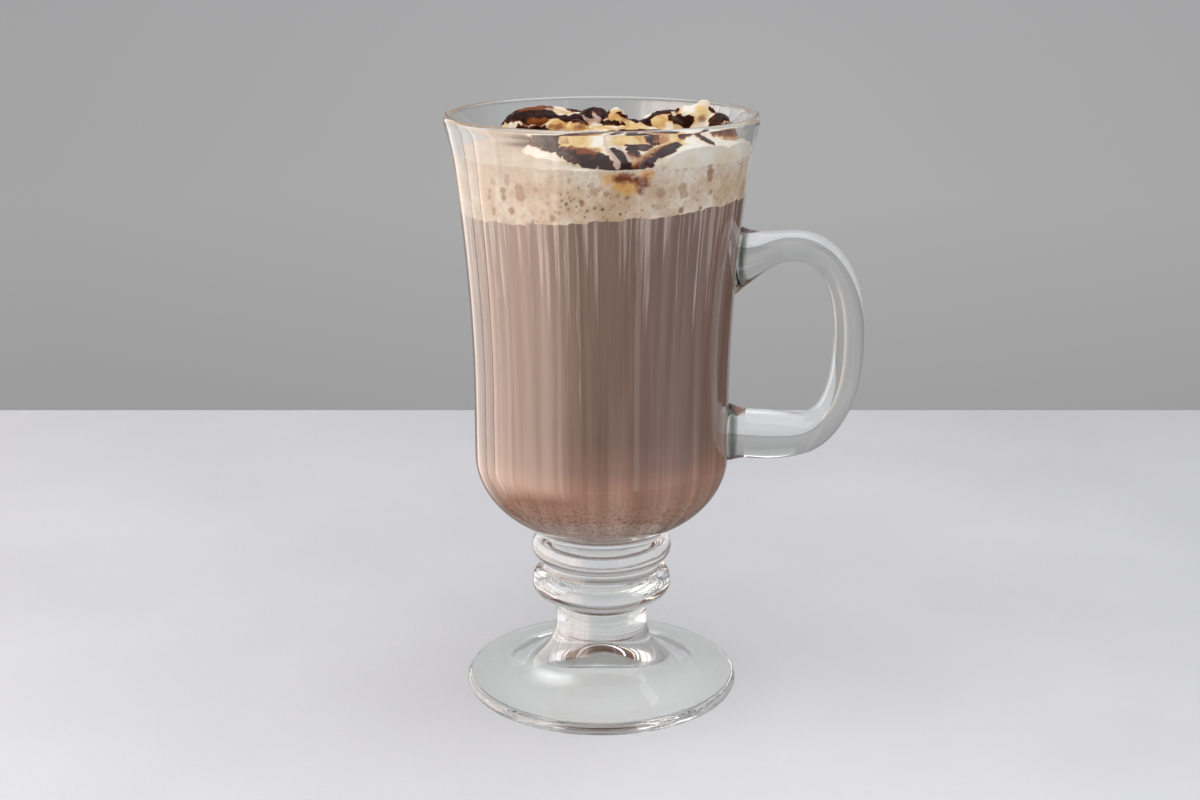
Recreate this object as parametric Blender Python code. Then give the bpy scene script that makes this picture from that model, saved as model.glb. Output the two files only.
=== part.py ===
"""A footed glass mug of hot chocolate, with milk foam and a mound of whipped cream under chocolate sauce.

Metres, +Z up. The origin is the centre of the foot's underside, and the handle points along +X.
"""

import math
import random

import bmesh
import bpy
from mathutils import Matrix, Vector

MM = 0.001

# Glass, as driving sizes
GLASS_HEIGHT = 146.8 * MM
RIM_RADIUS = 38.0 * MM
FOOT_RADIUS = 34.6 * MM
RIM_WALL = 2.2 * MM  # thickness of the wall at the rim, and the width of its rounded lip
BOWL_WALL = 2.6 * MM

# Foot: a disc with a rounded edge and a flat underside, which sweeps up into the neck
FOOT_EDGE = 1.8 * MM  # radius of the rounded edge
FOOT_SLOPE_END = 22.5 * MM  # radius where the flat cone of the foot turns up into the sweep
FOOT_SLOPE_TOP = 5.6 * MM
NECK_RADIUS = 11.6 * MM
NECK_FOOT_Z = 17.6 * MM
NECK_TOP_Z = 22.3 * MM

# Stem: two rings, one over the other
RING_SECTION = 3.7 * MM  # radius of a ring's rounded section
LOWER_RING_Z = 28.1 * MM
UPPER_RING_Z = 37.6 * MM
RING_RADIUS = 17.7 * MM  # to the outside of a ring
VALLEY_RADIUS = 14.9 * MM
VALLEY_Z = 32.8 * MM
BOWL_JOINT_RADIUS = 15.7 * MM
BOWL_JOINT_Z = 42.3 * MM

# Bowl: a quarter ellipse below, then a wall that flares like a tulip, with a little more flare at the lip
WAIST_RADIUS = 31.7 * MM
SHOULDER_Z = 62.0 * MM
BOTTOM_HALF_HEIGHT = 20.5 * MM
BOTTOM_CENTRE_RADIUS = 6.0 * MM
INNER_BOTTOM_HALF_HEIGHT = 15.6 * MM
FLARE_START_Z = 78.0 * MM
FLARE_POWER = 1.8
LIP_START_Z = 134.0 * MM
LIP_FLARE = 0.8 * MM
LIP_POWER = 1.5

# Handle: the centre line is half a superellipse with an arm from each end to the wall
HANDLE_CENTRE = (46.5 * MM, 90.5 * MM)
HANDLE_HALF_HEIGHT = 24.0 * MM
HANDLE_REACH = 14.6 * MM
HANDLE_POWER = 2.35
HANDLE_TOP_ROOT = (31.9 * MM, 111.2 * MM)
HANDLE_BOTTOM_ROOT = (30.5 * MM, 67.4 * MM)
HANDLE_HALF_WIDTH = 5.2 * MM  # across, along Y
HANDLE_THIN = 3.8 * MM  # half the thickness seen from the side, along most of the handle
HANDLE_THICK = 6.3 * MM  # and at its lower end
HANDLE_TOP_SPREAD = 5.6 * MM  # what the upper end gains where it is pressed on the wall
HANDLE_BOTTOM_SPREAD = 1.2 * MM
HANDLE_WIDTH_SPREAD = 1.3 * MM

# Contents. The foam reaches lower at the left, so its underside slopes
CONTENTS_GAP = 0.3 * MM
DRINK_TOP_Z = 126.0 * MM
DRINK_SLOPE = 0.07
FOAM_TOP_Z = 138.0 * MM
FOAM_RELIEF = 0.4 * MM
FOAM_MARGIN = 2.0  # mm round the cream where the foam stays flat

# Whipped cream, in mm: centre x, y, z, half sizes in x, y, z, and turn in degrees
CREAM_LUMPS = (
    (4, -1, 136.0, 24, 23, 7.4, 0),  # body of the mound
    (5, -14, 138.6, 15, 20, 5.0, 0),  # slope that leans on the front of the glass
    (-13.8, 10, 142.8, 10, 7, 4.1, 0),  # long lobe at the left, with its thin end
    (-19.0, 9.5, 142.0, 5.6, 4.5, 2.9, -8),
    (-10.8, -1, 143.2, 2.6, 2.8, 2.2, 20),  # two crumpled lumps in front of it
    (-6.0, -2, 142.6, 3.2, 3.2, 2.4, -15),
    (-1.6, 12, 142.4, 4.6, 5.5, 4.0, 0),  # clump in the middle
    (3.6, 6, 143.0, 3.0, 4.2, 4.0, 0),  # ridge that falls to the right
    (7.0, 5, 141.6, 3.6, 3.4, 2.8, 0),
    (15.0, 8, 142.2, 6.0, 6, 3.8, 15),  # dome right of the middle
    (20.2, 3, 143.4, 3.4, 4.2, 4.7, 0),  # tallest peak, with its shoulder and tip
    (23.4, 3, 144.0, 4.4, 4.8, 4.6, 0),
    (24.6, 3, 147.4, 1.9, 2.0, 2.1, 0),
    (28.0, 0, 142.4, 3.3, 6.5, 3.9, 0),
    (18.0, -20, 139.4, 11, 12, 4.6, -30),  # folds against the glass at the right
    (27.0, -10, 139.2, 7, 12, 4.4, 10),
    (-9.0, 18, 141.0, 9, 7, 4.2, 10),  # back of the mound
    (6.0, 20, 139.2, 9, 7, 3.2, 0),
    (18.0, 17, 141.0, 7.5, 7, 4.2, -20),
    (26.5, 9, 141.0, 5.5, 6.5, 4.2, 10),
)

# Chocolate sauce over the cream, in mm: route as x, y, then half width and height
SAUCE_RIBBONS = (
    (((-20.5, 9), (-15, 10.5), (-9.5, 11.5)), 3.3, 0.8),
    (((-3, 12), (-0.5, 13), (1.5, 12)), 3.0, 0.8),
    (((6.6, 3), (9.6, 2.4)), 1.3, 0.8),
    (((7, 2), (10, 5), (14, 8), (19.5, 8.5)), 1.1, 0.8),
    (((17.5, -1), (21, -3), (25, -2.5)), 2.0, 0.7),
    (((27.5, 5), (28.8, 1), (29.6, -3)), 1.8, 0.7),
    (((-18, 5), (-11, -4), (-6, -13), (-1, -23), (4.5, -31.5)), 2.3, 0.7),
    (((18, -7), (14, -17), (9.5, -25), (5.5, -31.5)), 2.2, 0.7),
    (((1, -5), (5.5, -13), (3.5, -22), (5, -31.5)), 1.4, 0.7),
    (((-15, 16), (-6, 19.5), (4, 20), (13, 19), (20, 14)), 2.0, 0.7),
    (((-3, 14), (1, 20), (-2, 25)), 1.6, 0.7),
)

SEGMENTS = 48  # sides of the turned pieces
HANDLE_SIDES = 12
HANDLE_STEPS = 30
HANDLE_ARM = 0.2  # share of the handle's length that each arm takes
LUMP_SUBDIVISIONS = 4
BEAD_SUBDIVISIONS = 2
SAUCE_STEP = 0.9 * MM  # from one bead of a ribbon to the next
CREAM_VOXEL = 0.8 * MM
CREAM_KEPT = 0.24  # share of the cream's triangles left after they are thinned
RELIEF_SEED = 7


def clear_scene():
    for obj in list(bpy.data.objects):
        bpy.data.objects.remove(obj)


def material(name, colour, roughness, transmission=0.0):
    made = bpy.data.materials.new(name)
    made.use_nodes = True
    shader = made.node_tree.nodes["Principled BSDF"]
    shader.inputs["Base Color"].default_value = (*colour, 1.0)
    shader.inputs["Roughness"].default_value = roughness
    shader.inputs["Metallic"].default_value = 0.0
    shader.inputs["Transmission Weight"].default_value = transmission
    return made


def add_object(name, bm, finish):
    """Makes the bmesh an object, its round faces smooth and its faces pointing out."""
    bmesh.ops.recalc_face_normals(bm, faces=bm.faces)
    mesh = bpy.data.meshes.new(name)
    bm.to_mesh(mesh)
    bm.free()
    mesh.shade_smooth()
    mesh.set_sharp_from_angle(angle=math.radians(40))
    obj = bpy.data.objects.new(name, mesh)
    if finish:
        obj.data.materials.append(finish)
    bpy.context.scene.collection.objects.link(obj)
    return obj


def arc(centre_r, centre_z, radius, start, end, steps):
    """Points (r, z) of an arc, from start to end degrees, ends included."""
    turns = [math.radians(start + (end - start) * i / steps) for i in range(steps + 1)]
    return [(centre_r + radius * math.cos(t), centre_z + radius * math.sin(t)) for t in turns]


def quarter_ellipse(centre_r, centre_z, half_r, half_z, start, end, steps):
    turns = [math.radians(start + (end - start) * i / steps) for i in range(steps + 1)]
    return [(centre_r + half_r * math.cos(t), centre_z + half_z * math.sin(t)) for t in turns]


def outer_radius(z):
    """The bowl's outside above its shoulder."""
    lip_z = GLASS_HEIGHT - RIM_WALL / 2
    whole_flare = RIM_RADIUS - WAIST_RADIUS - LIP_FLARE
    flare = whole_flare * max(0.0, (z - FLARE_START_Z) / (lip_z - FLARE_START_Z)) ** FLARE_POWER
    lip = LIP_FLARE * max(0.0, (z - LIP_START_Z) / (lip_z - LIP_START_Z)) ** LIP_POWER
    return WAIST_RADIUS + flare + lip


def wall_at(z):
    """Thickness of the wall, which thins a little towards the rim."""
    up = (z - SHOULDER_Z) / (GLASS_HEIGHT - SHOULDER_Z)
    return BOWL_WALL + (RIM_WALL - BOWL_WALL) * min(1.0, max(0.0, up))


def inner_radius(z):
    return outer_radius(z) - wall_at(z)


def inner_bottom(gap, steps):
    """The inside of the bowl's bottom, from the axis out to the shoulder, drawn in by a gap."""
    half_r = WAIST_RADIUS - BOWL_WALL - BOTTOM_CENTRE_RADIUS - gap
    half_z = INNER_BOTTOM_HALF_HEIGHT - gap
    return quarter_ellipse(BOTTOM_CENTRE_RADIUS, SHOULDER_Z, half_r, half_z, -90, 0, steps)


def levels(low, high, steps):
    return [low + (high - low) * i / steps for i in range(steps + 1)]


def glass_profile():
    """Half of the glass's section as (r, z), from under the foot up the outside, over the lip and down inside."""
    edge = arc(FOOT_RADIUS - FOOT_EDGE, FOOT_EDGE, FOOT_EDGE, -90, 90, 4)
    sweep = quarter_ellipse(
        FOOT_SLOPE_END,
        NECK_FOOT_Z,
        FOOT_SLOPE_END - NECK_RADIUS,
        NECK_FOOT_Z - FOOT_SLOPE_TOP,
        -90,
        -180,
        5,
    )
    ring_centre = RING_RADIUS - RING_SECTION
    lower_ring = arc(ring_centre, LOWER_RING_Z, RING_SECTION, -100, 72, 7)
    upper_ring = arc(ring_centre, UPPER_RING_Z, RING_SECTION, -72, 66, 6)
    bottom = quarter_ellipse(
        BOTTOM_CENTRE_RADIUS,
        SHOULDER_Z,
        WAIST_RADIUS - BOTTOM_CENTRE_RADIUS,
        BOTTOM_HALF_HEIGHT,
        -66,
        0,
        6,
    )
    lip_z = GLASS_HEIGHT - RIM_WALL / 2
    lip_r = RIM_RADIUS - RIM_WALL / 2
    outside = [(outer_radius(z), z) for z in (FLARE_START_Z, *levels(94 * MM, LIP_START_Z, 3), 140 * MM)]
    lip = arc(lip_r, lip_z, RIM_WALL / 2, 0, 180, 5)
    inside = [(inner_radius(z), z) for z in (140 * MM, *levels(LIP_START_Z, 94 * MM, 3), FLARE_START_Z)]
    return [
        (0.0, 0.0),
        *edge,
        *sweep,
        (NECK_RADIUS, NECK_TOP_Z),
        *lower_ring,
        (VALLEY_RADIUS, VALLEY_Z),
        *upper_ring,
        (BOWL_JOINT_RADIUS, BOWL_JOINT_Z),
        *bottom,
        *outside,
        *lip,
        *inside,
        *reversed(inner_bottom(0.0, 5)),
        (0.0, SHOULDER_Z - INNER_BOTTOM_HALF_HEIGHT),
    ]


def turned(profile, segments):
    """A bmesh of the profile (r, z) turned about Z, with its ends on the axis."""
    bm = bmesh.new()
    verts = [bm.verts.new((r, 0.0, z)) for r, z in profile]
    edges = [bm.edges.new(pair) for pair in zip(verts, verts[1:])]
    bmesh.ops.spin(
        bm,
        geom=verts + edges,
        cent=(0, 0, 0),
        axis=(0, 0, 1),
        angle=2 * math.pi,
        steps=segments,
        use_merge=True,
    )
    bmesh.ops.remove_doubles(bm, verts=bm.verts, dist=1e-6)
    return bm


def handle_centre_line():
    """Points (x, z) down the middle of the handle, from its upper root to its lower one."""
    centre_x, centre_z = HANDLE_CENTRE
    arm_steps = round(HANDLE_STEPS * HANDLE_ARM)
    bow_steps = HANDLE_STEPS - 2 * arm_steps
    points = []
    for i in range(arm_steps):
        along = i / arm_steps
        drop = (centre_z + HANDLE_HALF_HEIGHT - HANDLE_TOP_ROOT[1]) * (1 - smooth_step(0, 1, along))
        x = HANDLE_TOP_ROOT[0] + (centre_x - HANDLE_TOP_ROOT[0]) * along
        points.append((x, centre_z + HANDLE_HALF_HEIGHT - drop))
    for i in range(bow_steps + 1):
        turn = math.pi / 2 - math.pi * i / bow_steps
        out, up = math.cos(turn), math.sin(turn)
        x = centre_x + HANDLE_REACH * abs(out) ** (2 / HANDLE_POWER)
        z = centre_z + HANDLE_HALF_HEIGHT * math.copysign(abs(up) ** (2 / HANDLE_POWER), up)
        points.append((x, z))
    for i in range(1, arm_steps + 1):
        along = i / arm_steps
        rise = (HANDLE_BOTTOM_ROOT[1] - centre_z + HANDLE_HALF_HEIGHT) * along**2
        x = centre_x + (HANDLE_BOTTOM_ROOT[0] - centre_x) * along
        points.append((x, centre_z - HANDLE_HALF_HEIGHT + rise))
    return points


def smooth_step(low, high, value):
    t = min(1.0, max(0.0, (value - low) / (high - low)))
    return t * t * (3 - 2 * t)


def handle_section(along):
    """Half thickness and half width of the handle at a share of its length, wider where it meets the wall."""
    thick = HANDLE_THIN + (HANDLE_THICK - HANDLE_THIN) * smooth_step(0.62, 0.88, along)
    top = max(0.0, 1 - along / HANDLE_ARM)
    bottom = smooth_step(0.93, 1.0, along)
    thick += HANDLE_TOP_SPREAD * top**2 + HANDLE_BOTTOM_SPREAD * bottom
    width = HANDLE_HALF_WIDTH + HANDLE_WIDTH_SPREAD * max(top**2, bottom)
    return thick, width


def handle_mesh():
    """The handle as ellipses along its centre line, joined ring to ring and capped inside the wall."""
    centres = handle_centre_line()
    bm = bmesh.new()
    rings = []
    for i, (x, z) in enumerate(centres):
        before, after = centres[max(0, i - 1)], centres[min(len(centres) - 1, i + 1)]
        direction = Vector((after[0] - before[0], 0, after[1] - before[1])).normalized()
        if x <= HANDLE_CENTRE[0]:
            direction = Vector((1 if z > HANDLE_CENTRE[1] else -1, 0, 0))
        across = Vector((-direction.z, 0, direction.x))
        thick, width = handle_section(i / (len(centres) - 1))
        ring = []
        for k in range(HANDLE_SIDES):
            turn = 2 * math.pi * k / HANDLE_SIDES
            offset = across * (thick * math.cos(turn)) + Vector((0, width * math.sin(turn), 0))
            ring.append(bm.verts.new(Vector((x, 0, z)) + offset))
        rings.append(ring)
    for first, second in zip(rings, rings[1:]):
        for k in range(HANDLE_SIDES):
            following = (k + 1) % HANDLE_SIDES
            bm.faces.new((first[k], first[following], second[following], second[k]))
    bm.faces.new(rings[0])
    bm.faces.new(rings[-1])
    return bm


def build_mug(finish):
    mug = add_object("mug", turned(glass_profile(), SEGMENTS), finish)
    handle = add_object("handle_shape", handle_mesh(), finish)
    handle.hide_render = True
    handle.display_type = "WIRE"
    join = mug.modifiers.new("handle", "BOOLEAN")
    join.operation = "UNION"
    join.object = handle
    return mug


def slope_to_wall(vert, lift):
    """Puts a point on the sloping level between drink and foam, and one at the edge beside the wall."""
    at_edge = math.hypot(vert.co.x, vert.co.y) > MM
    vert.co.z = DRINK_TOP_Z + DRINK_SLOPE * vert.co.x + lift
    if at_edge:
        vert.co.xy = vert.co.xy.normalized() * (inner_radius(vert.co.z) - CONTENTS_GAP)


def build_drink(finish):
    """The drink, from the bottom of the bowl up to the foam, just clear of the glass."""
    side = [
        (inner_radius(z) - CONTENTS_GAP, z)
        for z in (FLARE_START_Z, 94 * MM, 107 * MM, 118 * MM, DRINK_TOP_Z)
    ]
    start = (0.0, SHOULDER_Z - INNER_BOTTOM_HALF_HEIGHT + CONTENTS_GAP)
    profile = [start, *inner_bottom(CONTENTS_GAP, 5), *side, (0.0, DRINK_TOP_Z)]
    bm = turned(profile, SEGMENTS)
    for vert in bm.verts:
        if vert.co.z > DRINK_TOP_Z - MM:
            slope_to_wall(vert, 0.0)
    return add_object("hot_chocolate", bm, finish)


def inside_lump(x, y, lump, room=0.0):
    """Share of the way out to a lump's edge, as the square: under 1 above or below the lump."""
    lump_x, lump_y, _, half_x, half_y, _, turn = lump
    turn = math.radians(turn)
    dx, dy = x / MM - lump_x, y / MM - lump_y
    along = (dx * math.cos(turn) + dy * math.sin(turn)) / (half_x + room)
    across = (dy * math.cos(turn) - dx * math.sin(turn)) / (half_y + room)
    return along * along + across * across


def cream_top(x, y):
    """Height of the highest lump at a point."""
    tops = [FOAM_TOP_Z]
    for lump in CREAM_LUMPS:
        out = inside_lump(x, y, lump)
        if out < 1:
            tops.append((lump[2] + lump[5] * math.sqrt(1 - out)) * MM)
    return max(tops)


def add_ball(bm, centre, half_sizes, subdivisions, turn=0.0):
    place = (
        Matrix.Translation(centre)
        @ Matrix.Rotation(math.radians(turn), 4, "Z")
        @ Matrix.Diagonal((*half_sizes, 1.0))
    )
    bmesh.ops.create_icosphere(bm, subdivisions=subdivisions, radius=1.0, matrix=place)


def add_ribbon(bm, ribbon):
    """A ribbon of sauce as a row of flat beads, each resting on the cream below it."""
    route, half_width, height = ribbon
    points = [Vector(point) * MM for point in route]
    for start, end in zip(points, points[1:]):
        beads = max(1, round((end - start).length / SAUCE_STEP))
        for i in range(beads + 1):
            spot = start.lerp(end, i / beads)
            centre = (spot.x, spot.y, cream_top(spot.x, spot.y))
            half_sizes = Vector((half_width, half_width, height)) * MM
            add_ball(bm, centre, half_sizes, BEAD_SUBDIVISIONS)


def space_over_foam():
    """A guide with the form of the empty glass above the foam, just clear of both."""
    base = FOAM_TOP_Z + CONTENTS_GAP
    side = [(inner_radius(z) - CONTENTS_GAP, z) for z in (base, 142 * MM, 145 * MM)]
    high = 156 * MM
    profile = [(0.0, base), *side, (side[-1][0], high), (0.0, high)]
    guide = add_object("space_over_foam", turned(profile, SEGMENTS), None)
    guide.hide_render = True
    guide.display_type = "WIRE"
    return guide


def build_cream(finish):
    """The mound and its sauce as one solid, trimmed to the space over the foam."""
    bm = bmesh.new()
    for x, y, z, half_x, half_y, half_z, turn in CREAM_LUMPS:
        half_sizes = Vector((half_x, half_y, half_z)) * MM
        add_ball(bm, Vector((x, y, z)) * MM, half_sizes, LUMP_SUBDIVISIONS, turn)
    for ribbon in SAUCE_RIBBONS:
        add_ribbon(bm, ribbon)
    cream = add_object("whipped_cream", bm, finish)
    join = cream.modifiers.new("join", "REMESH")
    join.mode = "VOXEL"
    join.voxel_size = CREAM_VOXEL
    thin = cream.modifiers.new("thin", "DECIMATE")
    thin.ratio = CREAM_KEPT
    trim = cream.modifiers.new("trim", "BOOLEAN")
    trim.operation = "INTERSECT"
    trim.object = space_over_foam()
    return cream


def build_foam(finish):
    """The layer of milk foam, flat under the cream and uneven where its top shows."""
    low_z = DRINK_TOP_Z + CONTENTS_GAP
    low_r = inner_radius(DRINK_TOP_Z) - CONTENTS_GAP
    high_r = inner_radius(FOAM_TOP_Z) - CONTENTS_GAP
    top = [(high_r * share, FOAM_TOP_Z) for share in (1.0, 0.92, 0.84, 0.74, 0.6, 0.4)]
    bm = turned([(0.0, low_z), (low_r, low_z), *top, (0.0, FOAM_TOP_Z)], SEGMENTS)
    draw = random.Random(RELIEF_SEED)
    for vert in bm.verts:
        x, y, z = vert.co
        if z < low_z + MM:
            slope_to_wall(vert, CONTENTS_GAP)
        elif min(inside_lump(x, y, lump, FOAM_MARGIN) for lump in CREAM_LUMPS) > 1:
            vert.co.z += draw.uniform(-FOAM_RELIEF, FOAM_RELIEF)
    return add_object("milk_foam", bm, finish)


def main():
    clear_scene()
    glass = material("clear_glass", (0.90, 0.94, 0.92), 0.03, transmission=1.0)
    cocoa = material("hot_chocolate_drink", (0.24, 0.14, 0.11), 0.35)
    froth = material("milk_froth", (0.80, 0.66, 0.53), 0.6)
    cream = material("cream_with_sauce", (0.88, 0.80, 0.64), 0.45)
    build_mug(glass)
    build_drink(cocoa)
    build_foam(froth)
    build_cream(cream)


main()
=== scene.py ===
import math

import bmesh
import bpy
from mathutils import Matrix, Vector, kdtree, noise
from mathutils.bvhtree import BVHTree


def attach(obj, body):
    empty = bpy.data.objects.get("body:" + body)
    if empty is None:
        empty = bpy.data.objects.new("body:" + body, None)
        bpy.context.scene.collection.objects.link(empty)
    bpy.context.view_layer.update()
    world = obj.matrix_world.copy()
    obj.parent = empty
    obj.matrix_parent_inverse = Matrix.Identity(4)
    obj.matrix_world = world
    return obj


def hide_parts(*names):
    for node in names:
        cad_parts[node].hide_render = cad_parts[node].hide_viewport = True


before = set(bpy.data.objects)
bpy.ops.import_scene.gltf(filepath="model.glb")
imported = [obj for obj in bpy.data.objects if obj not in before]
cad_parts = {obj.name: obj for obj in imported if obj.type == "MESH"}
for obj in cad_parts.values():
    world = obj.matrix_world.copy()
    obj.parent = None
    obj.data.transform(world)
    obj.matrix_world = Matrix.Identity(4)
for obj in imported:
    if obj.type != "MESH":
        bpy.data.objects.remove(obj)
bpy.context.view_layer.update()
mm = 0.001
weld = 0.002 * mm  # points nearer than this are made one
scene = bpy.context.scene


# Helpers for colours, nodes and meshes

def colour(hexCode):
    # sRGB hex, such as "E8DCC8", to the linear colour that a socket takes
    channels = [int(hexCode[i:i + 2], 16) / 255 for i in (0, 2, 4)]
    linear = [c / 12.92 if c <= 0.04045 else ((c + 0.055) / 1.055) ** 2.4 for c in channels]
    return (*linear, 1.0)


def addNode(tree, kind, inputs=None, stops=(), **settings):
    # an input is a plain value, another node, of which the first output is linked, or one of its outputs.
    # A ramp's stops are in rising order, each a position and a hex colour
    node = tree.nodes.new("ShaderNode" + kind)
    for name, value in settings.items():
        setattr(node, name, value)
    for name, value in (inputs or {}).items():
        if isinstance(value, bpy.types.Node):
            value = value.outputs[0]
        if isinstance(value, bpy.types.NodeSocket):
            tree.links.new(value, node.inputs[name])
        else:
            node.inputs[name].default_value = value
    elements = node.color_ramp.elements if stops else ()
    while len(elements) < len(stops):
        elements.new(1.0)
    for element, (position, shade) in zip(elements, stops):
        element.position = position
        element.color = colour(shade)
    return node


def newMaterial(name):
    material = bpy.data.materials.new(name)
    material.use_nodes = True
    material.node_tree.nodes.clear()
    return material, material.node_tree


def objectPlace(tree):
    # where a point is on its object, whole and as its X, Y and Z
    place = addNode(tree, "TexCoord").outputs["Object"]
    return place, addNode(tree, "SeparateXYZ", {"Vector": place}).outputs


def tinted(tree, under, amount, stops):
    # a colour multiplied by what the stops give for the amount
    tint = addNode(tree, "ValToRGB", {"Fac": amount}, stops)
    return addNode(tree, "Mix", {"Factor": 1.0, 6: under, 7: tint}, data_type="RGBA",
                   blend_type="MULTIPLY").outputs[2]


def covered(tree, under, over, amount, low, high, strength):
    # one colour laid over another, from nothing where the amount is low to the strength where it is high
    mask = addNode(tree, "MapRange", {
        "Value": amount, "From Min": low, "From Max": high, "To Max": strength})
    return addNode(tree, "Mix", {"Factor": mask, 6: under, 7: over}, data_type="RGBA").outputs[2]


def addObject(name, bm, *materials):
    mesh = bpy.data.meshes.new(name)
    bm.to_mesh(mesh)
    bm.free()
    for material in materials:
        mesh.materials.append(material)
    made = bpy.data.objects.new(name, mesh)
    scene.collection.objects.link(made)
    return made


def addPiece(name, bm, material, nodeName):
    # the finished mesh of a piece that stands for a CAD node
    bmesh.ops.remove_doubles(bm, verts=bm.verts, dist=weld)
    bmesh.ops.recalc_face_normals(bm, faces=bm.faces)
    piece = addObject(name, bm, material)
    piece.data.shade_smooth()
    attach(piece, "root")
    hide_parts(nodeName)
    return piece


def applyModifiers(piece):
    # keeps the shape that the modifiers make, and removes them
    graph = bpy.context.evaluated_depsgraph_get()
    made = bpy.data.meshes.new_from_object(piece.evaluated_get(graph))
    piece.modifiers.clear()
    piece.data = made


def smoothStep(low, high, value):
    t = min(1.0, max(0.0, (value - low) / (high - low)))
    return t * t * (3 - 2 * t)


# Camera, light and what the glass stands on

view = {
    "lens": 53.37,
    "place": (-0.4 * mm, -427.8 * mm, 195.0 * mm),
    "pitch": 74.38,  # degrees up from straight down
    "sensor": 36.0,
    "frame": (1200, 800),
}


def photoRay(u, v):
    # the line of sight through a point of the frame, as its start and direction
    width, height = view["frame"]
    reach = view["lens"] / view["sensor"] * width
    turn = Matrix.Rotation(math.radians(view["pitch"]), 3, "X")
    aim = Vector(((u - width / 2) / reach, (height / 2 - v) / reach, -1))
    return Vector(view["place"]), turn @ aim.normalized()


def setPictureLook():
    # plain colours, and enough bounces that light which runs round inside the glass comes out again
    scene.view_settings.view_transform = "Standard"
    scene.cycles.max_bounces = 24
    scene.cycles.glossy_bounces = 16
    scene.cycles.transmission_bounces = 24
    scene.cycles.transparent_max_bounces = 24


def setCamera():
    camera = bpy.data.objects.new("camera", bpy.data.cameras.new("camera"))
    camera.data.lens = view["lens"]
    camera.data.sensor_width = view["sensor"]
    camera.data.clip_start = 0.01
    camera.location = view["place"]
    camera.rotation_euler = (math.radians(view["pitch"]), 0, 0)
    scene.collection.objects.link(camera)
    scene.camera = camera


studio = {
    "backEdge": 255 * mm,  # where the table ends behind the glass
    "halfWidth": 800 * mm,
    "frontEdge": -1100 * mm,
    "tableTop": -0.12 * mm,
}

# centre, size and what it points at in mm, radiance in W/m2, colour
lamps = {
    "window": ((-620, -200, 200), (1200, 640), (0, -100, 80), 1.25, "FFF8F2"),
    "ceiling": ((40, -60, 900), (1300, 1200), (0, 0, 0), 1.56, "FBFCFF"),
    "fill": ((620, -300, 60), (900, 800), (0, -300, 60), 0.55, "F2F4FF"),
}

# Cards round the glass, which show only as reflections and fade out low down: from and to in degrees from
# the view (left is below zero), radiance, colour
cards = (
    (-152, -126, 2.0, "FFF4EC"),
    (-125, -111, 3.4, "FFF0E6"),
    (-110, -87, 4.9, "FFEADC"),
    (-87, -75, 4.4, "FFE8D8"),
    (-75, -42, 5.3, "FFE6D6"),
    (-42, -38, 3.6, "FFE6D6"),
    (-38, -34, 4.2, "FFE6D6"),
    (-34, -31.5, 2.9, "FFE8DA"),
    (-31.5, -29, 2.1, "FFE8DA"),
    (-29, -26, 1.5, "FFE8DA"),
    (-26, -22, 1.0, "FFE8DA"),
    (-22, -17, 0.7, "FFF0E8"),
    (-17, -12, 0.4, "FFF0E8"),
    (28, 33, 1.6, "FFF6F6"),
    (33, 82, 0.75, "E4E2F4"),
    (82, 96, 0.5, "E4E6F4"),
    (96, 150, 0.1, "D8CCC8"),
)
cardRing = {
    "radius": 700 * mm,
    "low": -700 * mm,
    "high": 420 * mm,
    "fadeLow": -520 * mm,
    "fadeHigh": -190 * mm,
    "streak": 62 * mm,
    "unevenness": 0.2,
    "step": 4,  # degrees
}
# The part of the table that shows in the bottom of the bowl, from and to in degrees from the view
nearTable = {"inner": 20 * mm, "outer": 185 * mm, "from": -20, "to": 150, "steps": 48, "under": 0.1 * mm}
# The cloth on it: its threads, its mottling per metre, and from where to where it gets paler towards the
# viewer, a painted shade that darkens it further back
tableCloth = {"thread": 1.6 * mm, "nap": 0.3 * mm, "mottle": 14.0, "farY": 250 * mm, "nearY": -110 * mm}
# Painted pools of light, where the table is brighter, as the glass gathers light: centre, full within, none
# beyond, gain
paintedLightSpots = (
    ((0, 0, 0), 20 * mm, 36 * mm, 1.18),
    ((-13 * mm, 3 * mm, 0), 1 * mm, 9 * mm, 1.5),
    ((-12.5 * mm, -4 * mm, 0), 1 * mm, 9 * mm, 1.5),
    ((30 * mm, -60 * mm, 0), 15 * mm, 90 * mm, 1.08),
    ((90 * mm, 130 * mm, 0), 10 * mm, 90 * mm, 1.05),
)


def setLamps():
    for name, (place, size, aim, radiance, tint) in lamps.items():
        place, size, aim = ([value * mm for value in values] for values in (place, size, aim))
        lamp = bpy.data.lights.new(name, "AREA")
        lamp.shape = "RECTANGLE"
        lamp.size, lamp.size_y = size
        lamp.color = colour(tint)[:3]
        lamp.energy = radiance * size[0] * size[1] * math.pi
        holder = bpy.data.objects.new(name, lamp)
        holder.location = place
        direction = Vector(aim) - Vector(place)
        holder.rotation_euler = direction.to_track_quat("-Z", "Y").to_euler()
        holder.visible_camera = False
        holder.visible_glossy = name == "ceiling"
        scene.collection.objects.link(holder)


def addStage(name, bm, material, onlyReflected=False):
    piece = addObject(name, bm, material)
    if onlyReflected:
        piece.visible_camera = piece.visible_diffuse = False
        piece.visible_transmission = piece.visible_shadow = False
    return piece


def sweepRound(line, start, end, steps):
    # a straight line between two points, swept round the axis from start to end degrees
    bm = bmesh.new()
    verts = [bm.verts.new(point) for point in line]
    edge = bm.edges.new(verts)
    bmesh.ops.rotate(bm, verts=verts, cent=(0, 0, 0), matrix=Matrix.Rotation(math.radians(start), 3, "Z"))
    bmesh.ops.spin(bm, geom=[*verts, edge], cent=(0, 0, 0), axis=(0, 0, 1),
                   angle=math.radians(end - start), steps=steps)
    return bm


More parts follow.
